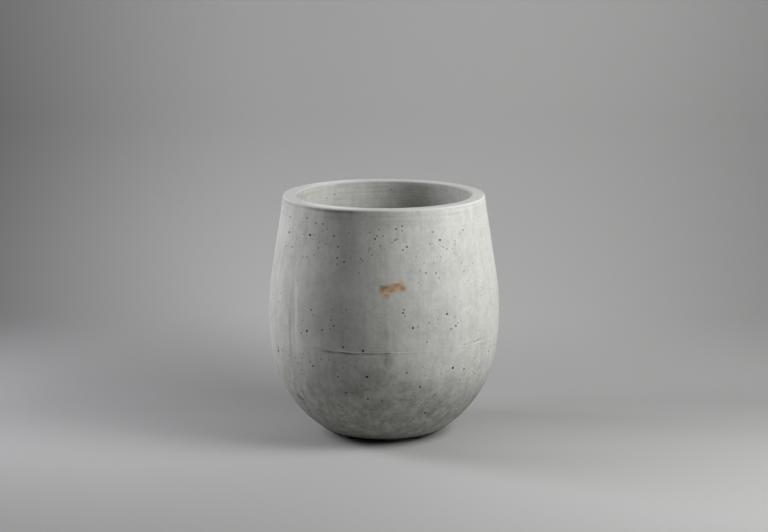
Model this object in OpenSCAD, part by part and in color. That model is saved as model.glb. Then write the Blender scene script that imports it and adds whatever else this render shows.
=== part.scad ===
// Concrete bowl planter, cast in a two-part mould round a cage of bent steel bars.
// Millimetres. Origin on the floor, under the middle of the base, +Z up.

/* [Bowl] */
// Largest outside diameter of the bowl
bowl_d = 600; // [570:1:640]
// Outside diameter at the rim
rim_d = 521; // [490:1:550]
// Outside diameter of the base
base_d = 308; // [285:1:335]
// Height of the cast bowl, without its pads
bowl_h = 616; // [580:1:660]
// Height of the widest point above the base
belly_z = 310; // [290:1:330]
// Radius of the lower curve, from the base up to the belly
heel_r = 296; // [285:1:310]
// Radius of the long curve through the widest point
belly_r = 680; // [600:5:760]
// Thickness of the wall
wall = 33; // [32:0.5:40]
// Thickness of the floor slab
slab_t = 45; // [42:1:60]
// Radius between the inside wall and the floor of the bowl
inner_heel_r = 30; // [15:1:40]
// Rounding of the rim's outer edge
rim_outer_r = 4; // [1:0.5:8]
// Rounding of the rim's inner edge
rim_inner_r = 3; // [1:0.5:8]
// Rounding of the edge round the base
base_edge_r = 3; // [1:0.5:6]

/* [Mould seam] */
// Height of the seam above the base
seam_z = 260; // [200:1:420]
// Width of the ridge that the seam leaves
seam_w = 4; // [3:0.5:8]
// How far the ridge stands out of the wall
seam_proud = 1; // [0.5:0.25:1.5]

/* [Reinforcement] */
// Diameter of the steel bars
bar_d = 6; // [5:0.5:6]
// Concrete between a hoop and the outer face
outer_cover = 10; // [8:0.5:11]
// Film of concrete between a hoop and the ribs inside it
bar_gap = 0.5; // [0.4:0.1:1.5]
// Number of ribs round the bowl
rib_count = 8; // [6:1:12]
// Direction of the first rib, from +X towards +Y
rib_start = -86; // [-90:1:-70]
// Radius of the bend at the foot of a rib
rib_bend_r = 40; // [30:1:50]
// Distance from the axis to the inner end of a rib's foot
rib_foot_r = 60; // [45:1:80]
// Distance from the rim down to the top of a rib
rib_top_cover = 22; // [15:1:40]
// Distance from the rim down to the centre of the rim hoop
rim_hoop_drop = 34; // [28:1:60]
// Height of the shoulder hoop above the base
shoulder_hoop_z = 424; // [400:1:500]
// Height of the belly hoop above the base
belly_hoop_z = 300; // [270:1:350]
// Height of the heel hoop above the base
heel_hoop_z = 160; // [130:1:200]
// Radius of the hoop in the floor slab
base_hoop_r = 110; // [90:1:120]

/* [Drain] */
// Bore of the drain sleeve
drain_d = 34; // [25:0.5:40]
// Wall of the drain sleeve
sleeve_wall = 3; // [2:0.5:4]
// How far the sleeve's collar reaches into the slab
collar_reach = 8; // [4:0.5:12]
// Thickness of the collar
collar_t = 4; // [3:0.5:6]
// How far the plug's flange laps over the sleeve's bore
flange_lap = 7; // [4:0.5:8]
// Thickness of the plug's flange
flange_t = 4; // [3:0.5:6]
// Gap between the flange and the recess that it lies in
recess_gap = 2; // [1:0.5:3]
// Gap between the plug's sealing ridges and the bore
plug_gap = 0.3; // [0.3:0.05:0.6]
// Length of the plug below its flange
shank_len = 24; // [18:1:30]
// Height of a sealing ridge on the plug
ridge_h = 1.2; // [0.8:0.1:2]
// Width of a sealing ridge
ridge_w = 4; // [3:0.5:5]
// Distance from the flange's edge in to the middle of the pull loop's bar
loop_inset = 10; // [8:0.5:12]
// Diameter of the pull loop's bar
loop_bar_d = 5; // [4:0.5:6]

/* [Floor pads] */
// Number of pads under the base
pad_count = 4; // [3:1:6]
// Diameter of a pad
pad_d = 40; // [30:1:45]
// Thickness of a pad
pad_t = 12; // [8:0.5:16]
// Distance from the axis to the middle of a pad
pad_ring_r = 115; // [95:1:118]
// Rounding of a pad's lower edge
pad_edge_r = 1; // [0.5:0.5:2]

/* [Hidden] */
$fn = 96;
bar_fn = 48;
far = 2 * bowl_d + 2 * bowl_h;
bowl_r = bowl_d / 2;
rim_r = rim_d / 2;
base_r = base_d / 2;
bar_r = bar_d / 2;

// Curves that run into each other overlap by this much, so that they cross at a clean edge
bite = 0.05;
edge_bite = 0.01;
// Every other stretch of a rib is a little thinner, and its neighbours run on over its ends
neck = 0.2;
overrun = 1;

// The outside is a heel arc, a belly arc that it runs into, and a straight line up to the rim.
belly_c = [bowl_r - belly_r, belly_z];
heel_to_belly = belly_r - heel_r + bite;
base_edge_pt = [base_r, 0];
belly_arm = belly_c - base_edge_pt;
heel_cos = (heel_r ^ 2 - belly_arm * belly_arm - heel_to_belly ^ 2) / (2 * heel_to_belly * norm(belly_arm));
meet_a = atan2(belly_arm[1], belly_arm[0]) - acos(heel_cos);
heel_c = belly_c + heel_to_belly * unit(meet_a);
rim_pt = [rim_r, bowl_h];
rim_arm = rim_pt - belly_c;
lean_a = atan2(rim_arm[1], rim_arm[0]) - acos((belly_r - bite) / norm(rim_arm));
wall_out = unit(lean_a);
wall_up = [-wall_out[1], wall_out[0]];

// Depths of the two layers of bars, from the outer face to the middle of a bar
hoop_depth = outer_cover + bar_r;
rib_depth = hoop_depth + bar_d + bar_gap;

// Rounded corner between the inside wall and the floor of the bowl
inner_heel_c = bend_centre(wall, slab_t, inner_heel_r);
inner_heel_a = bend_angle(inner_heel_c);

// Foot of a rib
rib_bend_c = bend_centre(rib_depth, rib_depth, rib_bend_r);
rib_bend_a = bend_angle(rib_bend_c);
rib_straight = (bowl_h - rib_top_cover - curve_pt(rib_depth, lean_a)[1]) / wall_up[1];

// Drain
bore_r = drain_d / 2;
sleeve_r = bore_r + sleeve_wall;
sleeve_h = slab_t - flange_t;
collar_r = sleeve_r + collar_reach;
collar_z = (sleeve_h - collar_t) / 2;
flange_r = bore_r + flange_lap;
recess_r = max(flange_r + recess_gap, sleeve_r + 1);
ridge_r = bore_r - plug_gap;
shank_r = ridge_r - ridge_h;
loop_r = flange_r - loop_inset;
loop_sink = flange_t / 2;

function unit(a) = [cos(a), sin(a)];

// Point of the heel or belly arc, sunk by depth, in direction a
function curve_pt(depth, a) =
    a < meet_a ? heel_c + (heel_r - depth) * unit(a) : belly_c + (belly_r - depth) * unit(a);

// Point of the straight upper wall, sunk by depth, at height z
function wall_pt(depth, z) =
    [(rim_pt * wall_out - depth - wall_out[1] * z) / wall_out[0], z];

// Radius of the whole outside, sunk by depth, at height z
function wall_r(depth, z) =
    z < curve_pt(depth, meet_a)[1] ? arc_r(heel_c, heel_r - depth, z) :
    z < curve_pt(depth, lean_a)[1] ? arc_r(belly_c, belly_r - depth, z) : wall_pt(depth, z)[0];

function arc_r(c, r, z) = c[0] + sqrt(r ^ 2 - (z - c[1]) ^ 2);

// Centre of a bend of radius r between the heel arc sunk by depth and the level line at height z
function bend_centre(depth, z, r) =
    [arc_r(heel_c, heel_r - depth - r, z + r), z + r];

function bend_angle(c) = atan2(c[1] - heel_c[1], c[0] - heel_c[0]);

// ---- flat shapes, radius along x and height along y ----

// Everything on the lower side of the line through c in direction a
module below(c, a) {
    translate(c) rotate(a) translate([-far, -far]) square([2 * far, far]);
}

module above(z) {
    translate([0, z]) square([far, far]);
}

module belly_disc(depth) {
    translate(belly_c) circle(belly_r - depth);
}

// The outside form, sunk by depth all round, up to height top
module form(depth, top) {
    intersection() {
        polygon([[0, 0], wall_pt(depth, 0), wall_pt(depth, top), [0, top]]);
        union() {
            intersection() {
                translate(heel_c) circle(heel_r - depth);
                belly_disc(depth);
            }
            intersection() {
                belly_disc(depth);
                above(curve_pt(depth, meet_a)[1]);
            }
            above(curve_pt(depth, lean_a)[1]);
        }
    }
}

// What rounding a corner takes away; u and v are the directions of its two edges
module corner_cut(p, u, v, r) {
    mid = (u + v) / norm(u + v);
    half = acos(u * mid);
    c = p + mid * r / sin(half);
    run = r / tan(half);
    difference() {
        polygon([c, p + run * u, p - r * mid, p + run * v]);
        translate(c) circle(r + edge_bite);
    }
}

module hollow() {
    intersection() {
        form(wall, bowl_h + wall);
        above(slab_t);
        union() {
            below(heel_c, inner_heel_a + 180);
            square([inner_heel_c[0], far]);
            translate(inner_heel_c) circle(inner_heel_r + bite);
        }
    }
}

module seam_ridge() {
    r = (seam_w ^ 2 / 4 + seam_proud ^ 2) / (2 * seam_proud);
    translate([wall_r(r - seam_proud, seam_z), seam_z]) circle(r);
}

module bowl_section() {
    heel_up = unit(atan2(-heel_c[1], base_r - heel_c[0]) + 90);
    difference() {
        union() {
            form(0, bowl_h);
            seam_ridge();
        }
        hollow();
        translate([0, sleeve_h]) square([recess_r, slab_t]);
        translate([0, -slab_t]) square([sleeve_r, 3 * slab_t]);
        corner_cut(rim_pt, [-1, 0], -wall_up, rim_outer_r);
        corner_cut(wall_pt(wall, bowl_h), [1, 0], -wall_up, rim_inner_r);
        corner_cut(base_edge_pt, [-1, 0], heel_up, base_edge_r);
    }
}

// ---- bars ----

module hoop(r, z) {
    translate([0, 0, z]) rotate_extrude() translate([r, 0]) circle(bar_r, $fn = bar_fn);
}

// A stretch of bar bent to radius r round c, in the plane of x and z; run lengthens both ends
module bent_bar(c, r, a0, a1, thick, run) {
    more = run / r * 180 / PI;
    translate([c[0], 0, c[1]])
        rotate([90, 0, 0])
            rotate([0, 0, a0 - more])
                rotate_extrude(angle = a1 - a0 + 2 * more)
                    translate([r, 0]) circle(thick, $fn = bar_fn);
}

module rib_bar() {
    wall_foot = curve_pt(rib_depth, lean_a) - overrun * wall_up;
    translate([rib_foot_r, 0, rib_depth])
        rotate([0, 90, 0])
            cylinder(r = bar_r, h = rib_bend_c[0] + overrun - rib_foot_r, $fn = bar_fn);
    bent_bar(rib_bend_c, rib_bend_r, -90, rib_bend_a, bar_r - neck, 0);
    bent_bar(heel_c, heel_r - rib_depth, rib_bend_a, meet_a, bar_r, overrun);
    bent_bar(belly_c, belly_r - rib_depth, meet_a, lean_a, bar_r - neck, 0);
    translate([wall_foot[0], 0, wall_foot[1]])
        rotate([0, -lean_a, 0])
            cylinder(r = bar_r, h = rib_straight + overrun, $fn = bar_fn);
}

module cage() {
    for (i = [1 : rib_count]) rotate([0, 0, rib_direction(i)]) rib_bar();
    hoop(wall_r(hoop_depth, bowl_h - rim_hoop_drop), bowl_h - rim_hoop_drop);
    hoop(wall_r(hoop_depth, shoulder_hoop_z), shoulder_hoop_z);
    hoop(wall_r(hoop_depth, belly_hoop_z), belly_hoop_z);
    hoop(wall_r(hoop_depth, heel_hoop_z), heel_hoop_z);
    hoop(base_hoop_r, hoop_depth);
}

function rib_direction(i) = rib_start + 360 * (i - 1) / rib_count;

// ---- pieces, each set on the pads ----

module bowl() {
    color([0.60, 0.60, 0.57]) translate([0, 0, pad_t]) difference() {
        rotate_extrude() bowl_section();
        cage();
        sleeve_collar();
    }
}

module steel_hoop(r, z) {
    color([0.42, 0.30, 0.24]) translate([0, 0, pad_t]) hoop(r, z);
}

module rim_hoop() {
    z = bowl_h - rim_hoop_drop;
    steel_hoop(wall_r(hoop_depth, z), z);
}

module shoulder_hoop() {
    steel_hoop(wall_r(hoop_depth, shoulder_hoop_z), shoulder_hoop_z);
}

module belly_hoop() {
    steel_hoop(wall_r(hoop_depth, belly_hoop_z), belly_hoop_z);
}

module heel_hoop() {
    steel_hoop(wall_r(hoop_depth, heel_hoop_z), heel_hoop_z);
}

module base_hoop() {
    steel_hoop(base_hoop_r, hoop_depth);
}

module rib(i) {
    color([0.42, 0.30, 0.24])
        translate([0, 0, pad_t]) rotate([0, 0, rib_direction(i)]) rib_bar();
}

module sleeve_collar() {
    translate([0, 0, collar_z]) cylinder(r = collar_r, h = collar_t);
}

module drain_sleeve() {
    color([0.30, 0.31, 0.32]) translate([0, 0, pad_t]) difference() {
        union() {
            cylinder(r = sleeve_r, h = sleeve_h);
            sleeve_collar();
        }
        translate([0, 0, -1]) cylinder(r = bore_r, h = sleeve_h + 2);
    }
}

// Flange, shank with two sealing ridges and a tapered nose, and a loop to pull it by
module drain_plug() {
    nose = ridge_w;
    color([0.12, 0.12, 0.12]) translate([0, 0, pad_t + sleeve_h]) {
        rotate_extrude() polygon([
            [0, flange_t], [flange_r - 1, flange_t], [flange_r, flange_t - 1], [flange_r, 0],
            [shank_r, 0],
            for (top = [-ridge_w, ridge_w + nose - shank_len]) each [
                [shank_r, top], [ridge_r, top - ridge_h], [ridge_r, top - ridge_w + ridge_h],
                [shank_r, top - ridge_w]],
            [shank_r - nose / 2, -shank_len], [0, -shank_len]]);
        translate([0, 0, flange_t - loop_sink])
            rotate([90, 0, 0])
                rotate_extrude(angle = 180) translate([loop_r, 0]) circle(loop_bar_d / 2, $fn = bar_fn);
    }
}

module floor_pad(i) {
    color([0.10, 0.10, 0.10])
        rotate([0, 0, 45 + 360 * (i - 1) / pad_count]) translate([pad_ring_r, 0, 0])
            rotate_extrude() difference() {
                square([pad_d / 2, pad_t]);
                corner_cut([pad_d / 2, 0], [-1, 0], [0, 1], pad_edge_r);
            }
}

bowl();
rim_hoop();
shoulder_hoop();
belly_hoop();
heel_hoop();
base_hoop();
for (i = [1 : rib_count]) rib(i);
drain_sleeve();
drain_plug();
for (i = [1 : pad_count]) floor_pad(i);
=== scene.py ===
"""Concrete bowl planter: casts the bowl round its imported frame, dresses its pieces, sets a plain studio."""

import math
import random
from functools import reduce

import bpy
from mathutils import Matrix, Vector


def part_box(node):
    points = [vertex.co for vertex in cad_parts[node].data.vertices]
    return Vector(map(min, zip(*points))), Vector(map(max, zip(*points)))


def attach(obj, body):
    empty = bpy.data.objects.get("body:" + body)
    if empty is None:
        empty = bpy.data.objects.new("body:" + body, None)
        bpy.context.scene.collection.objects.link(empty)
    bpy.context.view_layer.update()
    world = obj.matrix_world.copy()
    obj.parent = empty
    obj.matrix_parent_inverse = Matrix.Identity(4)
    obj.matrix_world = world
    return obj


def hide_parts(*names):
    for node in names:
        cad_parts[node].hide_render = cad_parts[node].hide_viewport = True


bl_info = {
    "name": "Concrete Bowl Planter",
    "version": (1, 0, 0),
    "blender": (4, 5, 0),
    "location": "View3D > Sidebar > Planter",
    "description": "Casts a deep concrete planter round its packed frame and dresses its pieces",
    "category": "Object",
}

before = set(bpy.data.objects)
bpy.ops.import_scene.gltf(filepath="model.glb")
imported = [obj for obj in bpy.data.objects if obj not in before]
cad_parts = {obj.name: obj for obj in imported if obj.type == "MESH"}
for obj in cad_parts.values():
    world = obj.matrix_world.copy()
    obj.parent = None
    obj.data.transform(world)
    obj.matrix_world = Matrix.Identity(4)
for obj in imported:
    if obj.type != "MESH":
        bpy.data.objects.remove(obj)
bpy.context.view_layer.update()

MM = 0.001
UP = Vector((0, 0, 1))
BASE_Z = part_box("bowl")[0].z
RIM_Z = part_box("bowl")[1].z
SLEEVE_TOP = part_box("drain_sleeve")[1].z
STEEL_NODES = [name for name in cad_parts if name.endswith("_hoop") or name.startswith("rib_")]
PAD_NODES = [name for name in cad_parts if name.startswith("floor_pad_")]
SENSOR_MM = 36
VOID_SHAPE_SEED = 5
CEMENT_DUST = (0.33, 0.33, 0.31)
MARK_DEPTH = 0.12  # how far a mark reaches in and out from the skin

# Where the photograph shows things, as pixels of its 768 x 532 frame
PHOTO_W = 768
PHOTO_H = 532
DEEP_VOIDS_AT = (
    (310, 235), (440, 240), (307, 331), (447, 314), (456, 326), (413, 328), (403, 313), (363, 351),
    (367, 377), (453, 368), (464, 369), (346, 393), (368, 399), (425, 413))
LARGE_VOIDS_AT = (
    (407, 247), (322, 330), (334, 326), (343, 347), (313, 366), (338, 377), (382, 401), (407, 373),
    (420, 387), (435, 395), (290, 217))
MIDDLE_VOIDS_AT = (
    (370, 248), (349, 233), (361, 259), (337, 264), (331, 320), (323, 224), (396, 229), (404, 310),
    (316, 223), (327, 229), (322, 231), (334, 236), (338, 247), (344, 262), (337, 258), (326, 244),
    (318, 248), (314, 255), (307, 257), (292, 247), (286, 246), (307, 218), (379, 230), (375, 239),
    (377, 236), (383, 236), (380, 246), (372, 255), (363, 261), (395, 240), (397, 239), (406, 242),
    (403, 250), (402, 226), (402, 231), (433, 232), (434, 263), (426, 273), (436, 273), (439, 278),
    (447, 249), (443, 247), (464, 226), (463, 230), (473, 263), (464, 271), (452, 369), (418, 327),
    (451, 329), (429, 323), (427, 342), (473, 372), (475, 374), (352, 393), (342, 407), (339, 405),
    (342, 416), (362, 409), (330, 329), (303, 321), (297, 326), (301, 333), (311, 310), (313, 315),
    (275, 312), (303, 354), (295, 358), (310, 362), (321, 359), (329, 360), (283, 358), (354, 381))
FAINT_VOIDS_AT = (
    (303, 222), (352, 245), (314, 235), (312, 238), (319, 242), (303, 234), (297, 239), (303, 257),
    (299, 264), (326, 258), (351, 260), (359, 273), (370, 233), (365, 229), (374, 244), (369, 250),
    (392, 243), (400, 243), (385, 249), (416, 257), (424, 263), (420, 271), (428, 237), (424, 249),
    (430, 244), (437, 257), (441, 257), (455, 241), (455, 244), (460, 234), (458, 238), (460, 257),
    (462, 263), (329, 277), (297, 280), (381, 262), (405, 316), (438, 319), (455, 317),
    (458, 323), (428, 335), (446, 364), (441, 374), (423, 367), (451, 378), (418, 379), (425, 376),
    (474, 358), (298, 364), (301, 364), (302, 370), (302, 357), (279, 348), (332, 309), (343, 313),
    (346, 329), (322, 335), (329, 325), (282, 330), (346, 310), (332, 394), (366, 406), (378, 403),
    (433, 397), (428, 412), (400, 384), (393, 385), (386, 374), (401, 400), (411, 400), (427, 403),
    (396, 422), (413, 419), (355, 368), (343, 368), (380, 395), (480, 330), (486, 355), (460, 380))
# Each table of air voids with its smallest and largest radius in millimetres
VOIDS = (
    (DEEP_VOIDS_AT, 2.9, 3.3), (LARGE_VOIDS_AT, 2.3, 2.8), (MIDDLE_VOIDS_AT, 1.6, 2.3),
    (FAINT_VOIDS_AT, 1.2, 1.7))

# Marks on the skin, some of them painted shade and painted light. Each kind says how ragged it is, the size
# of its grain and where its edge starts to fade, and then each mark's pixel (inside the bowl its place),
# width, height, strength (dark below 0) and turn
STREAKS = (
    0.4, 0.014, 0.2,
    ((296, 312), 0.0065, 0.150, 0.30), ((281, 285), 0.018, 0.120, 0.08), ((292, 380), 0.005, 0.060, 0.15),
    ((303, 250), 0.009, 0.080, 0.09), ((369, 316), 0.011, 0.080, 0.08), ((402, 262), 0.016, 0.090, 0.05),
    ((290, 335), 0.006, 0.110, -0.19))
SMUDGES = (0.8, 0.014, 0.35, ((387, 334), 0.012, 0.019, -0.15), ((388, 361), 0.017, 0.028, -0.34))
# Painted shade in soft clouds over the lower wall
LOW_WALL_SHADE = (
    1.6, 0.014, 0.2,
    ((411, 392), 0.055, 0.045, -0.15), ((352, 392), 0.050, 0.035, -0.12), ((378, 406), 0.060, 0.030, -0.10),
    ((432, 405), 0.040, 0.030, -0.10), ((377, 380), 0.045, 0.045, -0.25))
# Painted shade on the wall under the rim
SHADE_UNDER_RIM = (1.0, 0.014, 0.35, ((388, 219), 0.110, 0.030, -0.15))
# Painted shade down the wall's darkest side
CORE_SHADE = (0.8, 0.014, 0.1, ((347, 240), 0.038, 0.090, -0.14))
# A dark patch on the wall just below the rim, on the left
RIM_DARK_PATCH = (1.2, 0.014, 0.1, ((333, 216), 0.034, 0.026, -0.20))
RIM_LINES = (0.5, 0.008, 0.35, ((349, 212), 0.036, 0.0017, -0.30), ((350, 215), 0.032, 0.0017, -0.16))
# Painted shadow under the mould seam's ridge
SEAM_SHADE = (
    0.45, 0.008, 0.2,
    ((328, 351.8), 0.030, 0.0042, -0.50, -0.05), ((347, 353.4), 0.040, 0.0042, -0.55, -0.02),
    ((370, 353.7), 0.042, 0.0042, -0.50), ((387, 353.2), 0.018, 0.0042, -0.30, 0.03),
    ((477, 340.3), 0.020, 0.0042, -0.32, 0.24), ((467, 343.7), 0.016, 0.0042, -0.15, 0.10))
# A painted highlight in a light line under the seam's painted shadow
SEAM_HIGHLIGHT = (0.5, 0.008, 0.2, ((366, 356.8), 0.040, 0.0028, 0.16))
# Painted shade on the far inside wall, its place in metres
INNER_PAINTED_SHADE = (1.4, 0.03, 0.1, ((0.075, 0.220, 0.570), 0.080, 0.110, -0.22))
# Painted light on the inside wall on the left, its place in metres
INNER_PAINTED_LIGHT = (1.2, 0.03, 0.1, ((-0.170, 0.140, 0.590), 0.130, 0.080, 0.20))
SCUFF = (1.0, 0.006, 0.35, ((300, 397), 0.018, 0.006, -0.40, -0.6))
MARKS = (
    STREAKS, SMUDGES, LOW_WALL_SHADE, SHADE_UNDER_RIM, CORE_SHADE, RIM_DARK_PATCH, RIM_LINES, SEAM_SHADE, SEAM_HIGHLIGHT,
    INNER_PAINTED_SHADE, INNER_PAINTED_LIGHT, SCUFF)
RUST = (
    1.3, 0.009, 0.10,
    ((391, 288), 0.054, 0.034, 0.14), ((391, 288), 0.036, 0.016, 0.95), ((382, 290), 0.016, 0.017, 0.90),
    ((401, 287), 0.018, 0.018, 0.90), ((387, 295), 0.016, 0.011, 0.70))
DEEP_RUST = (
    1.5, 0.006, 0.10,
    ((384, 288), 0.016, 0.010, 0.85), ((397, 285), 0.013, 0.008, 0.65), ((391, 291), 0.013, 0.006, 0.50),
    ((403, 289), 0.009, 0.009, 0.70))


def length(name, description, default):
    """A size that the user can change, in metres."""
    return bpy.props.FloatProperty(name=name, description=description, default=default, unit="LENGTH")


def power(name, description, default):
    """A lamp's power that the user can change, in watts."""
    return bpy.props.FloatProperty(name=name, description=description, default=default, unit="POWER")


def tint(name, description, default, most=1.0):
    """A colour that the user can change."""
    return bpy.props.FloatVectorProperty(
        name=name, description=description, subtype="COLOR", size=3, default=default, min=0, max=most)


class BowlShape(bpy.types.PropertyGroup):
    """Sizes of the cast bowl, as in its frame"""

    belly_d: length("Belly diameter", "Largest outside diameter", 0.600)
    rim_d: length("Rim diameter", "Outside diameter at the rim", 0.521)
    base_d: length("Base diameter", "Outside diameter of the base", 0.308)
    belly_z: length("Belly height", "Height of the widest point above the base", 0.310)
    heel_r: length("Heel radius", "Radius of the lower curve", 0.296)
    belly_r: length("Belly radius", "Radius of the long curve through the widest point", 0.680)
    wall: length("Wall", "Thickness of the wall", 0.033)
    slab_t: length("Slab", "Thickness of the floor slab", 0.045)
    inner_heel_r: length("Inner heel", "Radius between the inside wall and the floor", 0.030)
    rim_outer_r: length("Rim outer edge", "Rounding of the rim's outer edge", 0.004)
    rim_inner_r: length("Rim inner edge", "Rounding of the rim's inner edge", 0.003)
    base_edge_r: length("Base edge", "Rounding of the edge round the base", 0.003)
    hole_r: length("Sleeve hole", "Radius of the hole round the drain sleeve", 0.020)
    recess_r: length("Plug recess", "Radius of the recess round the plug's flange", 0.026)
    recess_deep: length("Recess depth", "Depth of the recess in the floor", 0.004)
    key_z: length("Key height", "Height above the base of the ring cast round the sleeve's collar", 0.0185)
    key_t: length("Key width", "Width of the ring round the sleeve's collar", 0.004)
    key_deep: length("Key depth", "Depth of the ring round the sleeve's collar", 0.008)
    seam_z: length("Seam height", "Height of the mould seam above the base", 0.260)
    seam_proud: length("Seam proud", "How far the seam stands out where it is strongest", 0.0019)
    uneven: length("Unevenness", "Depth of the wall's slow waves", 0.0005)
    spin_steps: bpy.props.IntProperty(
        name="Steps round", description="Faces round the bowl", default=240, min=96)
    void_count: bpy.props.IntProperty(
        name="Air voids", description="Small air voids besides the ones that the photograph places",
        default=760, min=0)
    void_seed: bpy.props.IntProperty(
        name="Void seed", description="Changes where the small air voids lie", default=11)


class SmallParts(bpy.types.PropertyGroup):
    """Sizes of the drain sleeve, its plug and the floor pads, as in their frame"""

    bore_r: length("Bore", "Inside radius of the drain sleeve", 0.017)
    collar_r: length("Collar", "Radius of the collar that keys the sleeve into the slab", 0.028)
    collar_t: length("Collar thickness", "Thickness of the collar", 0.004)
    flange_r: length("Flange", "Radius of the plug's flange", 0.024)
    flange_t: length("Flange thickness", "Thickness of the plug's flange", 0.004)
    ridge_r: length("Ridge", "Radius of the plug's sealing ridges", 0.0167)
    ridge_h: length("Ridge height", "How far a ridge stands out of the shank", 0.0012)
    ridge_w: length("Ridge width", "Width of a sealing ridge", 0.004)
    shank_len: length("Shank", "Length of the plug below its flange", 0.024)
    loop_r: length("Pull loop", "Radius of the pull loop, to the middle of its bar", 0.014)
    loop_bar_d: length("Loop bar", "Thickness of the pull loop's bar", 0.005)
    pad_d: length("Pad", "Diameter of a floor pad", 0.040)
    pad_edge_r: length("Pad edge", "Rounding of a pad's lower edge", 0.001)
    pad_ring_r: length("Pad ring", "Distance from the axis to the middle of a pad", 0.115)
    groove: length("Groove", "Depth of the moulded grooves in plug and pads", 0.0006)


class Finishes(bpy.types.PropertyGroup):
    """Colours of the pieces"""

    pale: tint("Pale concrete", "Colour of the clean, dense cement skin", (0.640, 0.648, 0.612))
    # Lighter than the wall: partly the trowelled skin, partly painted light on the rim's flat top
    rim: tint("Trowelled rim", "Colour of the rim, trowelled smooth", (0.700, 0.706, 0.672))
    # A painted highlight on the rim's outer edge at the front left
    painted_highlight: tint("Rubbed edge", "Colour of the rim's outer edge, rubbed pale", (0.930, 0.935, 0.905))
    # Also the dark end that painted shade on the wall blends towards
    dark: tint("Dark concrete", "Colour of damp or sandy patches", (0.190, 0.196, 0.166))
    # Dust in the voids, darkened further by painted shade; also used for painted shade round the base
    dirt_and_shade: tint("Inside the voids", "Colour of dirt and shade in the air voids", (0.055, 0.056, 0.048))
    # Painted contact shadow, nearly black, at the edge of the base
    foot: tint("Damp foot", "Nearly black, damp concrete at the edge of the base", (0.020, 0.020, 0.018))
    rust: tint("Rust", "Orange of fresh rust", (0.480, 0.215, 0.075))
    old_rust: tint("Old rust", "Brown of old rust", (0.150, 0.078, 0.036))
    stain: tint("Rust stain", "Orange where rust has soaked into the cement skin", (0.610, 0.345, 0.158))
    deep_stain: tint("Deep stain", "Brown where the rust stain is thickest", (0.270, 0.172, 0.095))
    steel: tint("Bar steel", "Mill scale on the bars", (0.130, 0.125, 0.125))
    plastic: tint("Sleeve plastic", "Dark grey pipe plastic", (0.090, 0.095, 0.100))
    rubber: tint("Rubber", "Black rubber of the plug and pads", (0.022, 0.022, 0.022))


class Studio(bpy.types.PropertyGroup):
    """Floor, backdrop, lamps and camera"""

    floor: tint("Floor", "Colour of the floor in front of the planter", (0.497, 0.497, 0.492))
    # Darker than the floor in front: painted shade on the floor behind
    far_floor_shade: tint("Far floor", "Colour of the floor behind the planter", (0.398, 0.398, 0.394))
    backdrop: tint("Backdrop", "Colour of the backdrop in its middle", (0.490, 0.490, 0.486))
    # Painted shade: the backdrop and the floor darken towards their sides in this colour
    edge: tint("Backdrop edge", "Colour of the backdrop towards its sides", (0.100, 0.100, 0.099))
    sweep_y: length("Sweep start", "Where the floor begins to turn up, behind the planter", 0.32)
    sweep_r: length("Sweep radius", "Radius of the turn from floor to backdrop", 0.70)
    lamp_size: length("Lamp size", "Width of each square lamp", 1.2)
    key_power: power("Key", "Power of the main lamp on the right", 24.0)
    key_front_power: power("Key front", "Power of the lamp beside it, nearer the camera", 20.0)
    key_low_power: power("Key low", "Power of the lamp below it", 14.0)
    left_power: power("Left", "Power of the lamp on the left", 30.0)
    back_left_power: power("Back left", "Power of the low lamp behind on the left", 49.0)
    key_colour: tint("Key colour", "Colour of the lamps on the right", (1.0, 1.0, 1.0), most=2.0)
    left_colour: tint("Left colour", "Colour of the lamps on the left, cooler", (1.0, 0.985, 1.03), most=2.0)
    sky: bpy.props.FloatProperty(
        name="Sky", description="Strength of the even light from all round", default=0.004, min=0)
    lens: bpy.props.FloatProperty(
        name="Lens", description="Focal length in millimetres on a 36 mm sensor", default=116.4)
    eye_y: length("Camera distance", "Distance of the camera in front of the axis", 6.350)
    eye_z: length("Camera height", "Height of the camera above the floor", 1.6365)
    pitch: bpy.props.FloatProperty(
        name="Camera pitch", description="How far the camera looks down",
        default=math.radians(10.690), subtype="ANGLE")


# ---- the bowl's section ----

def unit(angle):
    return Vector((math.cos(angle), math.sin(angle)))


def arc(centre, radius, start, end, step):
    """Points along an arc, without its first, at most step apart."""
    count = max(1, math.ceil(abs(end - start) * radius / step))
    return [centre + radius * unit(start + (end - start) * i / count) for i in range(1, count + 1)]


def line(start, end, step):
    """Points along a straight line, without its first, at most step apart."""
    count = max(1, math.ceil((end - start).length / step))
    return [start.lerp(end, i / count) for i in range(1, count + 1)]


def fillet(corner, to_last, to_next, radius, steps=6):
    """Points of the rounding of a corner, given the directions back along one edge and on along the other."""
    half = to_last.angle(to_next) / 2
    centre = corner + (to_last + to_next).normalized() * radius / math.sin(half)
    run = radius / math.tan(half)
    first = corner + run * to_last - centre
    last = corner + run * to_next - centre
    turn = math.atan2(first.x * last.y - first.y * last.x, first.dot(last))
    return [centre + Matrix.Rotation(turn * i / steps, 2) @ first for i in range(steps + 1)]


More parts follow.
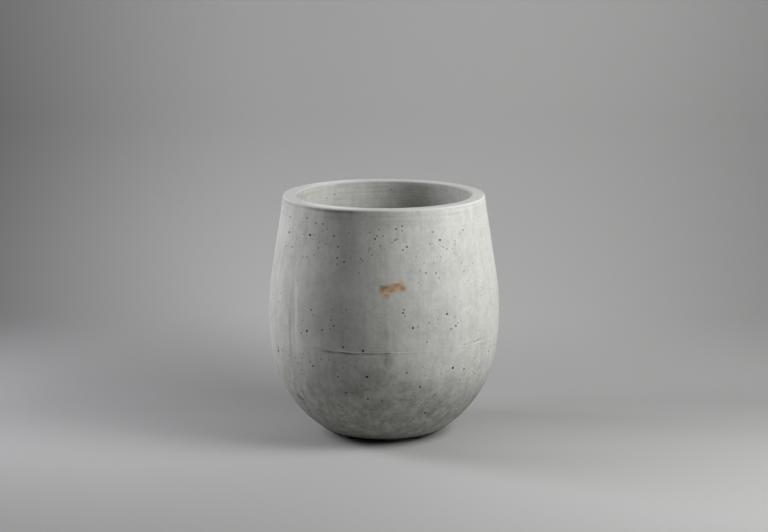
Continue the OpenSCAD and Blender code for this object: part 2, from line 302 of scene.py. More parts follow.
class Section:
    """The bowl's outline in radius and height above its base: heel arc, belly arc, straight upper wall."""

    def __init__(self, s):
        self.s = s
        self.height = RIM_Z - BASE_Z
        self.belly_c = Vector((s.belly_d / 2 - s.belly_r, s.belly_z))
        self.base_pt = Vector((s.base_d / 2, 0))
        self.rim_pt = Vector((s.rim_d / 2, self.height))
        between = s.belly_r - s.heel_r
        arm = self.belly_c - self.base_pt
        fold = (s.heel_r ** 2 - arm.length_squared - between ** 2) / (2 * between * arm.length)
        self.meet_a = math.atan2(arm.y, arm.x) - math.acos(fold)
        self.heel_c = self.belly_c + between * unit(self.meet_a)
        rise = self.rim_pt - self.belly_c
        self.lean_a = math.atan2(rise.y, rise.x) - math.acos(s.belly_r / rise.length)
        self.wall_out = unit(self.lean_a)
        self.wall_up = Vector((-self.wall_out.y, self.wall_out.x))

    def curve_pt(self, depth, angle):
        if angle < self.meet_a:
            return self.heel_c + (self.s.heel_r - depth) * unit(angle)
        return self.belly_c + (self.s.belly_r - depth) * unit(angle)

    def wall_pt(self, depth, z):
        """Point of the straight upper wall, sunk by depth, at height z."""
        reach = self.rim_pt.dot(self.wall_out) - depth - self.wall_out.y * z
        return Vector((reach / self.wall_out.x, z))

    def radius(self, depth, z):
        """Radius of the outline, sunk by depth, at height z."""
        if z < self.curve_pt(depth, self.meet_a).y:
            return self.heel_c.x + math.sqrt((self.s.heel_r - depth) ** 2 - (z - self.heel_c.y) ** 2)
        if z < self.curve_pt(depth, self.lean_a).y:
            return self.belly_c.x + math.sqrt((self.s.belly_r - depth) ** 2 - (z - self.belly_c.y) ** 2)
        return self.wall_pt(depth, z).x

    def belly_angle(self, z):
        return math.asin((z - self.belly_c.y) / self.s.belly_r)

    def points(self):
        """The whole cut wall: from the foot of the drain hole, out, up, over the rim and back down inside."""
        s = self.s
        row, fine, inner_row = 8 * MM, 0.6 * MM, 12 * MM
        base_a = math.atan2(-self.heel_c.y, self.base_pt.x - self.heel_c.x)
        heel_up = unit(base_a + math.pi / 2)
        out = [Vector((s.hole_r, 0))]
        edge = fillet(self.base_pt, Vector((-1, 0)), heel_up, s.base_edge_r)
        out += line(out[-1], edge[0], inner_row) + edge[1:]
        past_edge = math.atan2(edge[-1].y - self.heel_c.y, edge[-1].x - self.heel_c.x)
        out += arc(self.heel_c, s.heel_r, past_edge, self.meet_a, row)
        seam_low = self.belly_angle(s.seam_z - 19 * MM)
        seam_high = self.belly_angle(s.seam_z + 8 * MM)
        out += arc(self.belly_c, s.belly_r, self.meet_a, seam_low, row)
        out += arc(self.belly_c, s.belly_r, seam_low, seam_high, fine)
        out += arc(self.belly_c, s.belly_r, seam_high, self.lean_a, row)
        edge = fillet(self.rim_pt, -self.wall_up, Vector((-1, 0)), s.rim_outer_r)
        out += line(out[-1], edge[0], row) + edge[1:]
        edge = fillet(self.wall_pt(s.wall, self.height), Vector((1, 0)), -self.wall_up, s.rim_inner_r)
        out += line(out[-1], edge[0], 5 * MM) + edge[1:]
        out += line(out[-1], self.curve_pt(s.wall, self.lean_a), inner_row)
        out += arc(self.belly_c, s.belly_r - s.wall, self.lean_a, self.meet_a, inner_row)
        bend = s.heel_r - s.wall - s.inner_heel_r
        bend_z = s.slab_t + s.inner_heel_r
        bend_c = Vector((self.heel_c.x + math.sqrt(bend ** 2 - (bend_z - self.heel_c.y) ** 2), bend_z))
        bend_a = math.atan2(bend_c.y - self.heel_c.y, bend_c.x - self.heel_c.x)
        out += arc(self.heel_c, s.heel_r - s.wall, self.meet_a, bend_a, inner_row)
        out += arc(bend_c, s.inner_heel_r, bend_a, -math.pi / 2, 4 * MM)
        out += line(out[-1], Vector((s.recess_r, s.slab_t)), inner_row)
        out.append(Vector((s.recess_r, s.slab_t - s.recess_deep)))
        out.append(Vector((s.hole_r, s.slab_t - s.recess_deep)))
        key_low, key_high, key_r = s.key_z, s.key_z + s.key_t, s.hole_r + s.key_deep
        out += [Vector((s.hole_r, key_high)), Vector((key_r, key_high)), Vector((key_r, key_low))]
        out += [Vector((s.hole_r, key_low)), out[0]]
        return [Vector((p.x, 0, p.y + BASE_Z)) for p in out]


def sight(studio, pixel):
    """The camera's place, and the direction in which it sees a pixel of the photograph."""
    focal = studio.lens / SENSOR_MM * PHOTO_W
    across = (pixel[0] - PHOTO_W / 2) / focal
    up = (PHOTO_H / 2 - pixel[1]) / focal
    ahead = Vector((0, math.cos(studio.pitch), -math.sin(studio.pitch)))
    above = Vector((0, math.sin(studio.pitch), math.cos(studio.pitch)))
    way = ahead + above * up + Vector((across, 0, 0))
    return Vector((0, -studio.eye_y, studio.eye_z)), way.normalized()


def on_wall(section, studio, pixel):
    """Where a pixel of the photograph lies on the outside of the bowl."""
    eye, way = sight(studio, pixel)

    def outside(t):
        p = eye + way * t
        z = min(max(p.z - BASE_Z, 0.001), section.height - 0.001)
        return math.hypot(p.x, p.y) - section.radius(0, z)

    near, far = studio.eye_y - 0.45, studio.eye_y - 0.45
    while outside(far) > 0:
        near, far = far, far + 0.004
        if far > studio.eye_y + 0.2:
            raise ValueError(f"pixel {pixel} misses the bowl")
    for _ in range(30):
        middle = (near + far) / 2
        near, far = (middle, far) if outside(middle) > 0 else (near, middle)
    return eye + way * far


def wall_normal(section, place):
    """Outward direction of the outside wall at a place on it."""
    z = place.z - BASE_Z
    rise = (section.radius(0, z + MM) - section.radius(0, z - MM)) / (2 * MM)
    return Vector((place.x, place.y, -rise * math.hypot(place.x, place.y))).normalized()


# ---- modelling by operators ----

def pick_only(piece):
    bpy.ops.object.select_all(action="DESELECT")
    piece.select_set(True)
    bpy.context.view_layer.objects.active = piece


def edit(piece):
    pick_only(piece)
    bpy.ops.object.mode_set(mode="EDIT")
    bpy.ops.mesh.select_mode(type="VERT")
    bpy.ops.mesh.select_all(action="SELECT")


def leave_edit():
    bpy.ops.object.mode_set(mode="OBJECT")


def start_piece(name, add, **how):
    bpy.ops.object.select_all(action="DESELECT")
    add(**how)
    piece = bpy.context.active_object
    piece.name = piece.data.name = name
    return piece


def trace(name, points):
    """A wire through the points: one vertex, extruded from point to point."""
    piece = start_piece(name, bpy.ops.mesh.primitive_plane_add, size=0.01)
    edit(piece)
    bpy.ops.mesh.merge(type="CENTER")
    bpy.ops.transform.translate(value=points[0])
    for here, there in zip(points, points[1:]):
        bpy.ops.mesh.extrude_region_move(TRANSFORM_OT_translate={"value": there - here})
    leave_edit()
    return piece


def spin_round(piece, steps, centre=(0, 0, 0)):
    """Spins a wire in the plane of X and Z round its upright axis and closes the shell."""
    edit(piece)
    bpy.ops.mesh.remove_doubles(threshold=0.01 * MM)
    bpy.ops.mesh.spin(steps=steps, angle=2 * math.pi, center=centre, axis=(0, 0, 1))
    bpy.ops.mesh.select_all(action="SELECT")
    bpy.ops.mesh.remove_doubles(threshold=0.01 * MM)
    bpy.ops.mesh.normals_make_consistent(inside=False)
    leave_edit()
    return piece


def finish_modifier(piece, modifier):
    pick_only(piece)
    bpy.ops.object.modifier_apply(modifier=modifier.name)


def smooth(piece, angle=math.radians(32)):
    pick_only(piece)
    bpy.ops.object.shade_smooth_by_angle(angle=angle)


def round_sharp_edges(piece, offset):
    edit(piece)
    bpy.ops.mesh.select_all(action="DESELECT")
    bpy.ops.mesh.select_mode(type="EDGE")
    bpy.ops.mesh.edges_select_sharp(sharpness=math.radians(28))
    bpy.ops.mesh.bevel(offset=offset, segments=2, affect="EDGES")
    leave_edit()


def lathe(name, outline, lift, steps, centre=(0, 0, 0), soften=0.3 * MM):
    """Spins an outline of (radius, height) points and softens its sharp edges."""
    piece = trace(name, [Vector((centre[0] + r, 0, z + lift)) for r, z in outline])
    spin_round(piece, steps, centre)
    round_sharp_edges(piece, soften)
    return piece


def weigh(piece, name, weight_at):
    """Gives the piece a vertex group, with the weight that weight_at returns for each vertex's place."""
    group = piece.vertex_groups.new(name=name)
    for vertex in piece.data.vertices:
        weight = weight_at(vertex.co)
        if weight > 0:
            group.add([vertex.index], min(weight, 1.0), "REPLACE")
    return group


def displace(piece, group, strength, texture=None, mid_level=0.0):
    modifier = piece.modifiers.new("Displace", "DISPLACE")
    modifier.vertex_group = group.name
    modifier.strength = strength
    modifier.mid_level = mid_level
    modifier.texture = texture
    finish_modifier(piece, modifier)


def combine(piece, other, operation, solver, **settings):
    """Cuts the other solid out of the piece or joins it on, and removes it."""
    modifier = piece.modifiers.new("Combine", "BOOLEAN")
    modifier.object = other
    modifier.operation = operation
    modifier.solver = solver
    for key, value in settings.items():
        setattr(modifier, key, value)
    finish_modifier(piece, modifier)
    bpy.data.objects.remove(other)


def soft_step(value, low, high):
    t = min(max((value - low) / (high - low), 0.0), 1.0)
    return t * t * (3 - 2 * t)


def wave(degrees):
    return math.sin(math.radians(degrees))


def ridge_at(above, up, down):
    """1 on a ridge's crest, falling to 0 over one width above it and another below."""
    return 1 - soft_step(abs(above), 0, up if above >= 0 else down)


def seam_strength(degrees):
    """How strongly the seam stands out, by direction from the front, positive to the right."""
    strong = soft_step(degrees, -40, -32) * (1 - soft_step(degrees, 2, 5))
    fading = 0.4 * soft_step(degrees, 2, 5) * (1 - soft_step(degrees, 8, 26))
    right = soft_step(degrees, 35, 44) * (1 - soft_step(degrees, 60, 70))
    back = soft_step(abs(degrees), 110, 125) * (0.75 + 0.25 * math.cos(math.radians(5 * degrees)))
    ripple = 0.78 + 0.22 * wave(23 * degrees) * math.cos(math.radians(11 * degrees + 40))
    return max(0.05, strong * ripple, fading, 0.5 * right, 0.7 * back)


def seam_weight(section, co):
    """The seam's ridge, sharp below and sloping above, with a fainter second line under it."""
    degrees = math.degrees(math.atan2(co.x, -co.y))
    wander = 0.9 * MM * wave(9 * degrees) + 0.5 * MM * wave(31 * degrees)
    wander += 3.5 * MM * (1 - soft_step(degrees, -38, -22)) - 1.5 * MM * soft_step(degrees, 3, 6)
    above = co.z - BASE_Z - section.s.seam_z - wander
    run_up = (3.0 + 11.0 * (1 - soft_step(degrees, -27, -20))) * MM
    ridge = ridge_at(above, run_up, 0.9 * MM)
    lower = above + 12.5 * MM + 2 * MM * (1 - soft_step(degrees, -30, -10))
    second = 0.42 * ridge_at(lower, 2.2 * MM, 1.6 * MM)
    second *= soft_step(degrees, -30, -22) * (1 - soft_step(degrees, 0, 4))
    second *= 0.8 + 0.2 * wave(27 * degrees + 60)
    return max(ridge * seam_strength(degrees), second)


def polar(r, turn, z):
    return Vector((r * math.cos(turn), r * math.sin(turn), z))


def void_places(section, studio, settings):
    """Place, outward direction and radius of every air void, none of them touching another."""
    rng = random.Random(settings.void_seed)
    clusters_all_round, inner_voids, rim_voids = 26, 70, 22
    front, front_half_width = 270, 62
    found = []

    def keep(place, normal, radius):
        if all((place - other).length > 1.25 * (radius + r) for other, _, r in found):
            found.append((place, normal, radius))

    for pixels, small, large in VOIDS:
        for pixel in pixels:
            place = on_wall(section, studio, pixel)
            keep(place, wall_normal(section, place), rng.uniform(small, large) * MM)
    clusters = [(rng.uniform(0, 360), rng.uniform(0.05, 0.58)) for _ in range(clusters_all_round)]
    for _ in range(settings.void_count):
        if rng.random() < 0.6:
            turn, z = rng.choice(clusters)
            turn, z = rng.gauss(turn, 6), rng.gauss(z, 0.018)
        else:
            turn, z = rng.uniform(0, 360), rng.uniform(0.03, 0.600)
        radius = min(0.6 + rng.expovariate(2.0), 3.0) * MM
        if abs((turn - front + 180) % 360 - 180) < front_half_width:
            radius = min(radius, rng.uniform(0.7, 1.25) * MM)
        z = min(max(z, 0.02), 0.606)
        if abs(z - settings.seam_z) < 0.004:
            continue
        place = polar(section.radius(0, z), math.radians(turn), z + BASE_Z)
        keep(place, wall_normal(section, place), radius)
    for _ in range(inner_voids):
        turn, z = rng.uniform(0, 2 * math.pi), rng.uniform(0.25, 0.60)
        place = polar(section.radius(settings.wall, z), turn, z + BASE_Z)
        keep(place, polar(-1, turn, 0), rng.uniform(0.9, 2.2) * MM)
    for _ in range(rim_voids):
        turn = rng.uniform(0, 2 * math.pi)
        r = rng.uniform(settings.rim_d / 2 - settings.wall + 6 * MM, settings.rim_d / 2 - 7 * MM)
        keep(polar(r, turn, RIM_Z), UP, rng.uniform(0.6, 1.1) * MM)
    return found


def void_cutter(places):
    """One mesh of small uneven balls, each a little sunk, that cuts the air voids."""
    rng = random.Random(VOID_SHAPE_SEED)
    cutter = start_piece("void_cutter", bpy.ops.mesh.primitive_ico_sphere_add, subdivisions=2, radius=MM)
    edit(cutter)
    bpy.ops.mesh.delete(type="VERT")
    for place, normal, radius in places:
        turn = normal.to_track_quat("Z", "Y").to_euler()
        bpy.ops.mesh.primitive_ico_sphere_add(
            subdivisions=2 if radius > 1.1 * MM else 1, radius=radius, rotation=turn,
            location=place - normal * radius * rng.uniform(0.0, 0.35),
            scale=(rng.uniform(0.75, 1.15), rng.uniform(0.75, 1.1), rng.uniform(0.9, 1.1)))
    leave_edit()
    return cutter


# ---- materials ----

class Board:
    """Wires nodes into a material's tree or a group's."""

    def __init__(self, tree):
        self.tree = tree

    def feed(self, socket, value):
        if isinstance(value, bpy.types.NodeSocket):
            self.tree.links.new(value, socket)
        elif socket.type == "RGBA":
            socket.default_value = (*value, 1)
        else:
            socket.default_value = value

    def add(self, kind, inputs=None, **settings):
        node = self.tree.nodes.new(kind)
        for key, value in settings.items():
            setattr(node, key, value)
        for key, value in (inputs or {}).items():
            self.feed(node.inputs[key], value)
        return node

    def maths(self, operation, *values, clamp=False):
        node = self.add("ShaderNodeMath", dict(enumerate(values)), operation=operation, use_clamp=clamp)
        return node.outputs[0]

    def times(self, *values):
        """The product of the values, from left to right."""
        return reduce(lambda a, b: self.maths("MULTIPLY", a, b), values)

    def plus(self, *values):
        """The sum of the values, from left to right."""
        return reduce(lambda a, b: self.maths("ADD", a, b), values)

    def part(self, value, middle, amount):
        """How far the value lies from its middle, times the amount."""
        return self.times(self.maths("SUBTRACT", value, middle), amount)

    def vector(self, operation, *values):
        node = self.add("ShaderNodeVectorMath", dict(enumerate(values)), operation=operation)
        return node.outputs["Value" if operation == "LENGTH" else "Vector"]

    def spread(self, value, low, high, to_low=0.0, to_high=1.0):
        node = self.add(
            "ShaderNodeMapRange",
            {"Value": value, "From Min": low, "From Max": high, "To Min": to_low, "To Max": to_high},
            interpolation_type="SMOOTHSTEP")
        return node.outputs["Result"]

    def blend(self, factor, a, b, mode="MIX"):
        node = self.add("ShaderNodeMix", {0: factor, 6: a, 7: b}, data_type="RGBA", blend_type=mode)
        return node.outputs[2]

    def noise(self, vector, scale, detail, roughness):
        node = self.add(
            "ShaderNodeTexNoise",
            {"Vector": vector, "Scale": scale, "Detail": detail, "Roughness": roughness})
        return node.outputs["Fac"]


def new_group(name, vectors, numbers, outputs):
    """An empty shader group with named sockets; returns its board, what it is given and what it puts out."""
    tree = bpy.data.node_groups.new(name, "ShaderNodeTree")
    for sockets, side, kind in (
            (vectors, "INPUT", "Vector"), (numbers, "INPUT", "Float"), (outputs, "OUTPUT", "Float")):
        for socket in sockets:
            tree.interface.new_socket(socket, in_out=side, socket_type="NodeSocket" + kind)
    board = Board(tree)
    return board, board.add("NodeGroupInput").outputs, board.add("NodeGroupOutput").inputs


def cloudy_patches():
    """Soft uneven patches: an amount from 0 to 1."""
    board, given, out = new_group(
        "Cloudy patches", ["Vector"], ["Size", "Detail", "Low", "High"], ["Amount"])
    scale = board.maths("DIVIDE", 1.0, given["Size"])
    noise = board.noise(given["Vector"], scale, given["Detail"], 0.58)
    board.feed(out["Amount"], board.spread(noise, given["Low"], given["High"]))
    return board.tree


def drawn_streaks():
    """Streaks along Z, or along the ground where they are wider than long: an amount from 0 to 1."""
    board, given, out = new_group(
        "Drawn streaks", ["Vector"], ["Width", "Length", "Low", "High"], ["Amount"])
    wide = board.maths("DIVIDE", 1.0, given["Width"])
    long = board.maths("DIVIDE", 1.0, given["Length"])
    stretch = board.add("ShaderNodeCombineXYZ", {"X": wide, "Y": wide, "Z": long}).outputs[0]
    noise = board.noise(board.vector("MULTIPLY", given["Vector"], stretch), 1.0, 3.0, 0.5)
    board.feed(out["Amount"], board.spread(noise, given["Low"], given["High"]))
    return board.tree


def fine_grain():
    """Sand or moulding grain: a tone round 0.5, and a height for bump."""
    board, given, out = new_group("Fine grain", ["Vector"], ["Size", "Specks"], ["Tone", "Height"])
    scale = board.maths("DIVIDE", 1.0, given["Size"])
    sand = board.noise(given["Vector"], scale, 3.0, 0.6)
    coarse = board.noise(given["Vector"], board.times(scale, 0.28), 2.0, 0.5)
    cells = board.add("ShaderNodeTexVoronoi", {"Vector": given["Vector"], "Scale": board.times(scale, 0.2)})
    speck = board.spread(cells.outputs["Distance"], 0.10, 0.24, 1.0, 0.0)
    mixed = board.plus(board.times(sand, 0.6), board.times(coarse, 0.4))
    dark = board.times(speck, given["Specks"])
    board.feed(out["Tone"], board.maths("SUBTRACT", mixed, dark, clamp=True))
    board.feed(out["Height"], board.plus(mixed, board.times(dark, -0.5)))
    return board.tree


def soft_mark():
    """A ragged mark round a place, turned about Y: 1 in its middle and 0 outside."""
    board, given, out = new_group(
        "Soft mark", ["Vector", "Centre", "Reach"], ["Turn", "Ragged", "Grain", "Edge"], ["Mask"])
    apart = board.vector("SUBTRACT", given["Vector"], given["Centre"])
    turned = board.add(
        "ShaderNodeVectorRotate", {"Vector": apart, "Angle": given["Turn"]}, rotation_type="Y_AXIS")
    distance = board.vector("LENGTH", board.vector("DIVIDE", turned.outputs[0], given["Reach"]))
    noise = board.noise(given["Vector"], board.maths("DIVIDE", 1.0, given["Grain"]), 4.0, 0.6)
    torn = board.plus(distance, board.part(noise, 0.5, given["Ragged"]))
    board.feed(out["Mask"], board.spread(torn, given["Edge"], 1.0, 1.0, 0.0))
    return board.tree


GROUP_MAKERS = {
    "Cloudy patches": cloudy_patches, "Drawn streaks": drawn_streaks, "Fine grain": fine_grain,
    "Soft mark": soft_mark}


class Paint(Board):
    """The board of a new material with a Principled shader, on the piece's own coordinates."""

    def __init__(self, name):
        self.material = bpy.data.materials.new(name)
        self.material.use_nodes = True
        super().__init__(self.material.node_tree)
        self.tree.nodes.clear()
        self.shader = self.add("ShaderNodeBsdfPrincipled")
        self.output = self.add("ShaderNodeOutputMaterial", {"Surface": self.shader.outputs[0]})
        self.place = self.add("ShaderNodeTexCoord").outputs["Object"]

    def group(self, name, **inputs):
        """Places a shared group, which is made when it is first asked for, and returns its outputs."""
        tree = bpy.data.node_groups.get(name) or GROUP_MAKERS[name]()
        return self.add("ShaderNodeGroup", {"Vector": self.place, **inputs}, node_tree=tree).outputs

    def clouds(self, size, detail, low, high):
        return self.group("Cloudy patches", Size=size, Detail=detail, Low=low, High=high)[0]

    def streaks(self, wide, tall, low, high):
        return self.group("Drawn streaks", Width=wide, Length=tall, Low=low, High=high)[0]

    def grain(self, size, specks):
        """Tone and height of sand or moulding grain."""
        made = self.group("Fine grain", Size=size, Specks=specks)
        return made["Tone"], made["Height"]

    def bump(self, height, distance, under=None):
        inputs = {"Height": height, "Distance": distance}
        if under is not None:
            inputs["Normal"] = under
        return self.add("ShaderNodeBump", inputs).outputs[0]

    def finish(self, **inputs):
        """Feeds the shader's sockets, named with underscores for spaces; returns the material."""
        for name, value in inputs.items():
            self.feed(self.shader.inputs[name.replace("_", " ")], value)
        return self.material


def concrete_material(finishes, section, studio):
    """Cast concrete: cement skin with clouds, streaks, sand, dark marks, a rust bloom and a scuff, with
    painted shade, shadows and highlights.
    """
    paint = Paint("cast_concrete")
    axes = paint.add("ShaderNodeSeparateXYZ", {0: paint.place}).outputs
    across, height = axes["X"], axes["Z"]
    clouds = paint.clouds(0.085, 5.0, 0.30, 0.70)
    blotches = paint.clouds(0.022, 4.0, 0.32, 0.68)
    mottle = paint.clouds(0.009, 3.0, 0.30, 0.70)
    streaks = paint.streaks(0.016, 0.26, 0.30, 0.72)
    layers = paint.streaks(0.16, 0.004, 0.34, 0.68)
    sand, sand_height = paint.grain(0.0016, 0.35)
    cells = paint.add("ShaderNodeTexVoronoi", {"Vector": paint.place, "Scale": 85.0}).outputs["Distance"]
    specks = paint.times(paint.spread(cells, 0.15, 0.07), paint.spread(blotches, 0.55, 0.85))

    # Where things lie: low, high, at and under the rim, outside or inside the wall, front left. Low also sets
    # painted shade towards the bottom, and high painted light towards the top
    low = paint.spread(height, 0.30, 0.05)
    high = paint.spread(height, 0.28, 0.52)
    rim = paint.spread(height, RIM_Z - 0.0050, RIM_Z - 0.0034)
    near_rim = paint.spread(height, RIM_Z - 0.055, RIM_Z - 0.012)
    level = paint.add("ShaderNodeCombineXYZ", {"X": across, "Y": axes["Y"]}).outputs[0]
    from_axis = paint.vector("LENGTH", level)
    lean = section.wall_out.y / section.wall_out.x
    wall_middle = section.wall_pt(section.s.wall / 2, -BASE_Z).x
    outside = paint.spread(
        paint.plus(from_axis, paint.times(height, lean)), wall_middle - 0.004, wall_middle + 0.004)
    inside = paint.times(paint.maths("SUBTRACT", 1.0, outside), paint.spread(height, 0.42, 0.50))
    # A painted shadow line just under the rim's outer edge, on the outside
    shadow_under_rim = paint.times(
        paint.spread(height, RIM_Z - 0.0145, RIM_Z - 0.009),
        paint.spread(height, RIM_Z - 0.0042, RIM_Z - 0.0054), outside)
    front_left = paint.times(
        paint.spread(across, -0.03, -0.12), paint.spread(across, -0.215, -0.165, 0.25, 1.0))

    def marks(kind):
        """Each mark of a kind, as its strength where it lies and 0 elsewhere."""
        ragged, grain_size, edge, *each = kind
        for at, wide, tall, strength, *turn in each:
            centre = at if len(at) == 3 else on_wall(section, studio, at)
            mask = paint.group(
                "Soft mark", Centre=centre, Reach=(wide, MARK_DEPTH, tall), Ragged=ragged,
                Turn=turn[0] if turn else 0.0, Grain=grain_size, Edge=edge)[0]
            yield paint.times(mask, strength)

    blotch_share = paint.plus(0.10, paint.times(low, 0.14))
    layer_share = paint.plus(0.02, paint.times(near_rim, 0.09), paint.times(inside, 0.10))
    # The tone holds painted light and shade too: lighter towards the top, darker towards the bottom, a
    # painted shadow line under the rim at the front left, and the painted shade and light among the marks
    tone = paint.plus(
        0.69, paint.part(clouds, 0.5, 0.11), paint.times(high, 0.10), paint.part(streaks, 0.5, 0.11),
        paint.part(mottle, 0.5, 0.10), paint.times(specks, 0.22), paint.part(sand, 0.45, 0.28),
        paint.part(blotches, 0.5, blotch_share), paint.part(layers, 0.5, layer_share),
        paint.times(low, -0.45), paint.times(shadow_under_rim, front_left, -0.44),
        *(mark for kind in MARKS for mark in marks(kind)))
    colour = paint.blend(paint.maths("MULTIPLY", tone, 1.0, clamp=True), finishes.dark, finishes.pale)
    # The rim is lighter: partly its trowelled skin, partly painted light on its flat top
    colour = paint.blend(paint.times(rim, 0.70), colour, finishes.rim)
    # A painted highlight, near white, along the rim's outer edge at the front left
    rim_r = section.s.rim_d / 2
    rim_edge = paint.spread(from_axis, rim_r - 0.034, rim_r - 0.026)
    painted_highlight = paint.times(rim, rim_edge, paint.times(front_left, 0.72))
    colour = paint.blend(painted_highlight, colour, finishes.painted_highlight)

    # Painted contact shadow at the very edge of the base, nearly black and reaching higher towards the sides,
    # with fainter painted shade a little above it
    aside = paint.spread(paint.maths("ABSOLUTE", across), 0.05, 0.12)
    foot = paint.plus(height, paint.part(mottle, 0.5, 0.002), paint.times(aside, -0.003))
    shaded = paint.spread(foot, BASE_Z + 0.0075, BASE_Z + 0.001, 0.0, 0.97)
    base_shade = paint.spread(foot, BASE_Z + 0.030, BASE_Z + 0.003, 0.0, 0.22)
    base_r = section.s.base_d / 2
    base_edge = paint.spread(
        paint.plus(from_axis, paint.part(blotches, 0.5, 0.010)), base_r - 0.022, base_r - 0.008)
    colour = paint.blend(paint.times(base_shade, base_edge), colour, finishes.dirt_and_shade)
    colour = paint.blend(paint.times(shaded, base_edge), colour, finishes.foot)

    def strongest(kind):
        return reduce(lambda a, b: paint.maths("MAXIMUM", a, b), marks(kind))

    ochre = paint.blend(paint.spread(mottle, 0.25, 0.80), finishes.stain, finishes.deep_stain)
    ochre = paint.blend(0.45, finishes.stain, ochre)
    colour = paint.blend(strongest(RUST), colour, ochre)
    colour = paint.blend(strongest(DEEP_RUST), colour, finishes.deep_stain)

    waves = paint.bump(clouds, 0.5 * MM)
    drawn = paint.bump(streaks, 0.15 * MM, waves)
    layered = paint.bump(paint.times(layers, near_rim), 0.25 * MM, drawn)
    return paint.finish(
        Base_Color=colour, Specular_IOR_Level=0.35,
        Roughness=paint.plus(0.78, paint.part(clouds, 0.5, -0.10), paint.part(sand, 0.45, 0.20)),
        Normal=paint.bump(sand_height, 0.35 * MM, layered))


def void_material(finishes):
    """The dark inside of an air void: dust, and painted shade."""
    paint = Paint("void_concrete")
    tone, height = paint.grain(0.0008, 0.2)
    colour = paint.blend(paint.spread(tone, 0.3, 0.7), finishes.dirt_and_shade, finishes.dark)
    return paint.finish(
        Base_Color=paint.blend(0.72, colour, finishes.dirt_and_shade), Roughness=0.95,
        Normal=paint.bump(height, 0.2 * MM))


def steel_material(finishes):
    """Plain round bar: mill scale under patchy rust."""
    paint = Paint("rusty_bar_steel")
    patches = paint.clouds(0.018, 5.0, 0.38, 0.56)
    flakes = paint.clouds(0.004, 3.0, 0.35, 0.65)
    rust = paint.blend(flakes, finishes.old_rust, finishes.rust)
    crust = paint.bump(paint.times(patches, flakes), 0.3 * MM)
    _, height = paint.grain(0.0006, 0.3)
    return paint.finish(
        Base_Color=paint.blend(patches, finishes.steel, rust),
        Metallic=paint.plus(0.9, paint.times(patches, -0.9)),
        Roughness=paint.spread(patches, 0.0, 1.0, 0.45, 0.92), Normal=paint.bump(height, 0.1 * MM, crust))


def moulded_material(name, colour, roughness, dust):
    """Moulded rubber or plastic: fine matt grain, faint flow clouds and cement dust."""
    paint = Paint(name)
    flow = paint.clouds(0.012, 3.0, 0.3, 0.7)
    dusty = paint.clouds(0.007, 5.0, 0.50, 0.72)
    lighter = tuple(min(1.0, c * 1.35 + 0.004) for c in colour)
    plain = paint.blend(flow, colour, lighter)
    _, height = paint.grain(0.0005, 0.1)
    return paint.finish(
        Base_Color=paint.blend(paint.times(dusty, dust), plain, CEMENT_DUST),
        Roughness=paint.spread(dusty, 0.0, 1.0, roughness, min(1.0, roughness + 0.25)),
        Normal=paint.bump(height, 0.08 * MM))


def dress(piece, material):
    piece.data.materials.clear()
    piece.data.materials.append(material)


# ---- operators ----

class PLANTER_OT_cast_bowl(bpy.types.Operator):
    """Cast the bowl: spin its section, raise the mould seam and cut the air voids"""

    bl_idname = "planter.cast_bowl"
    bl_label = "Cast the bowl"

    def execute(self, context):
        s, studio = context.scene.planter_bowl, context.scene.planter_studio
        section = Section(s)
        bowl = trace("cast_bowl", section.points())
        spin_round(bowl, s.spin_steps)
        swell = bpy.data.textures.new("slow_waves", "CLOUDS")
        swell.noise_scale = 0.11
        swell.noise_depth = 2

        def on_outside(co):
            """1 on the outside wall, fading out towards the base and the rim."""
            z, top = co.z - BASE_Z, section.height
            if z < 0.004 or z > top - 0.004 or math.hypot(co.x, co.y) < section.radius(s.wall / 2, z):
                return 0.0
            return soft_step(z, 0.004, 0.03) * (1 - soft_step(z, top - 0.03, top - 0.004))

        def on_seam(co):
            near = abs(co.z - BASE_Z - s.seam_z) < 0.024
            return seam_weight(section, co) if near and on_outside(co) else 0.0

        displace(bowl, weigh(bowl, "outside", on_outside), s.uneven, swell, mid_level=1.0)
        displace(bowl, weigh(bowl, "seam", on_seam), s.seam_proud)
        cutter = void_cutter(void_places(section, studio, s))
        finishes = context.scene.planter_finishes
        dress(bowl, concrete_material(finishes, section, studio))
        dress(cutter, void_material(finishes))
        combine(bowl, cutter, "DIFFERENCE", "MANIFOLD", material_mode="TRANSFER")
        bowl.vertex_groups.clear()
        smooth(bowl)
        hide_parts("bowl")
        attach(bowl, "planter")
        return {"FINISHED"}


class PLANTER_OT_rust_bars(bpy.types.Operator):
    """Give the hidden hoops and ribs their rusty steel"""

    bl_idname = "planter.rust_bars"
    bl_label = "Rust the bars"

    def execute(self, context):
        steel = steel_material(context.scene.planter_finishes)
        for name in STEEL_NODES:
            dress(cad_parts[name], steel)
        return {"FINISHED"}


def plug_outline(d):
    """The plug from its nose up: shank with two sealing ridges, flange with a moulded ring."""
    shank_r = d.ridge_r - d.ridge_h
    nose = d.ridge_w
    outline = [(0, -d.shank_len), (shank_r - nose / 2, -d.shank_len)]
    for low in (nose - d.shank_len, -2 * d.ridge_w):
        outline += [(shank_r, low), (d.ridge_r, low + d.ridge_h)]
        outline += [(d.ridge_r, low + d.ridge_w - d.ridge_h), (shank_r, low + d.ridge_w)]
    edge = d.flange_r
    outline += [(shank_r, 0), (edge, 0), (edge, d.flange_t - MM), (edge - MM, d.flange_t)]
    outline += [(edge - 2.5 * MM, d.flange_t), (edge - 3 * MM, d.flange_t - d.groove)]
    outline += [(edge - 4 * MM, d.flange_t - d.groove), (edge - 4.5 * MM, d.flange_t), (0, d.flange_t)]
    return outline


